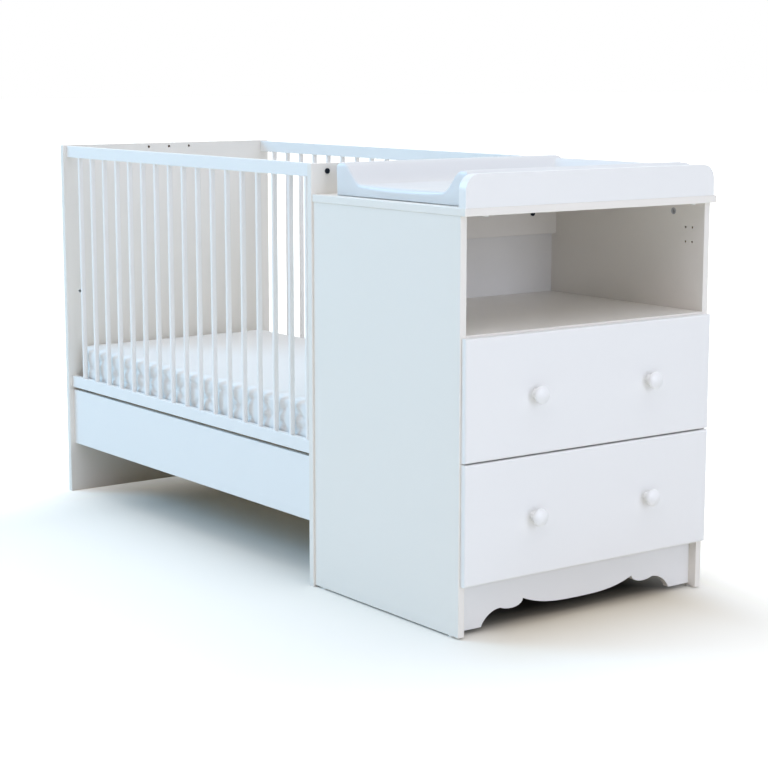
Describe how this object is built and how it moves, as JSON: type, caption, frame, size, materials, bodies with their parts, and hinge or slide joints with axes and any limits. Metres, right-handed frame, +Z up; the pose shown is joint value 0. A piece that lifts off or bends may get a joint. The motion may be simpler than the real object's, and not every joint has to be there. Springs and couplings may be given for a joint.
{
  "type": "crib with attached changer",
  "caption": "White crib with slatted sides and a mattress, joined end-on to a cabinet with an open niche, drawers and a changing top with a guard board and padded mat.",
  "frame": {"origin": "centre of the bounding box on the floor", "axes": "+X from the crib's end panel towards the drawer fronts, +Y from the near slatted side to the far one, +Z up"},
  "size_m": [1.811, 0.702, 0.9562],
  "materials": {
    "white_board": "white melamine-faced board",
    "white_lacquer": "white satin lacquer",
    "raw_wood": "planed pine, uncoated",
    "dark_steel": "black zinc",
    "zinc": "zinc plated",
    "runner_steel": "white powder coat",
    "white_plastic": "moulded white plastic",
    "mattress_cloth": "white quilted cotton",
    "mat_vinyl": "white satin vinyl"
  },
  "bodies": {
    "crib_and_cabinet": {"end_panel": "white_board", "middle_panel": "white_board", "front_top_rail": "white_lacquer", "front_bottom_rail": "white_lacquer", "front_lower_board": "white_board", "front_slats": "white_lacquer", "back_top_rail": "white_lacquer", "back_bottom_rail": "white_lacquer", "back_lower_board": "white_board", "back_slats": "white_lacquer", "side_bolts": "dark_steel", "barrel_nuts": "zinc", "base_end_bars": "raw_wood", "base_side_bars": "raw_wood", "base_slats": "raw_wood", "base_bolts": "dark_steel", "insert_nuts": "zinc", "mattress": "mattress_cloth", "cabinet_left_side": "white_board", "cabinet_right_side": "white_board", "changer_top": "white_board", "guard_board": "white_lacquer", "guard_screws": "zinc", "guard_screw_caps": "white_plastic", "rear_top_rail": "white_board", "niche_shelf": "white_board", "back_board": "white_board", "bottom_board": "white_board", "rear_bottom_rail": "white_board", "apron": "white_lacquer", "cam_locks": "zinc", "cam_bolts": "zinc", "joining_bolts": "dark_steel", "glides": "white_plastic", "cabinet_runners": "runner_steel", "changing_mat": "mat_vinyl"},
    "upper_drawer": {"upper_drawer_front": "white_lacquer", "upper_drawer_left_side": "white_board", "upper_drawer_right_side": "white_board", "upper_drawer_back": "white_board", "upper_drawer_bottom": "white_board", "upper_drawer_runners": "runner_steel", "upper_drawer_cams": "zinc", "upper_drawer_cam_bolts": "zinc", "upper_knobs": "white_lacquer", "upper_knob_screws": "zinc"},
    "lower_drawer": {"lower_drawer_front": "white_lacquer", "lower_drawer_left_side": "white_board", "lower_drawer_right_side": "white_board", "lower_drawer_back": "white_board", "lower_drawer_bottom": "white_board", "lower_drawer_runners": "runner_steel", "lower_drawer_cams": "zinc", "lower_drawer_cam_bolts": "zinc", "lower_knobs": "white_lacquer", "lower_knob_screws": "zinc"},
    "upper_front_wheels": {"upper_cabinet_rollers": "white_plastic"},
    "upper_rear_wheels": {"upper_drawer_rollers": "white_plastic"},
    "lower_front_wheels": {"lower_cabinet_rollers": "white_plastic"},
    "lower_rear_wheels": {"lower_drawer_rollers": "white_plastic"}
  },
  "joints": [
    {"name": "upper_drawer_slide", "type": "slide", "parent": "crib_and_cabinet", "child": "upper_drawer", "axis": [1, 0, 0], "range_m": [0, 0.33]},
    {"name": "lower_drawer_slide", "type": "slide", "parent": "crib_and_cabinet", "child": "lower_drawer", "axis": [1, 0, 0], "range_m": [0, 0.33]},
    {"name": "upper_front_wheels_turn", "type": "hinge", "parent": "crib_and_cabinet", "child": "upper_front_wheels", "pos_m": [0.845, 0, 0.4005], "axis": [0, 1, 0], "continuous": true},
    {"name": "upper_rear_wheels_turn", "type": "hinge", "parent": "upper_drawer", "child": "upper_rear_wheels", "pos_m": [0.4235, 0, 0.4005], "axis": [0, 1, 0], "continuous": true},
    {"name": "lower_front_wheels_turn", "type": "hinge", "parent": "crib_and_cabinet", "child": "lower_front_wheels", "pos_m": [0.845, 0, 0.1435], "axis": [0, 1, 0], "continuous": true},
    {"name": "lower_rear_wheels_turn", "type": "hinge", "parent": "lower_drawer", "child": "lower_rear_wheels", "pos_m": [0.4235, 0, 0.1435], "axis": [0, 1, 0], "continuous": true}
  ],
  "couplings": [
    {"joint": "upper_front_wheels_turn", "follows": "upper_drawer_slide", "rad_per_m": 100},
    {"joint": "upper_rear_wheels_turn", "follows": "upper_drawer_slide", "rad_per_m": 100},
    {"joint": "lower_front_wheels_turn", "follows": "lower_drawer_slide", "rad_per_m": 100},
    {"joint": "lower_rear_wheels_turn", "follows": "lower_drawer_slide", "rad_per_m": 100}
  ]
}
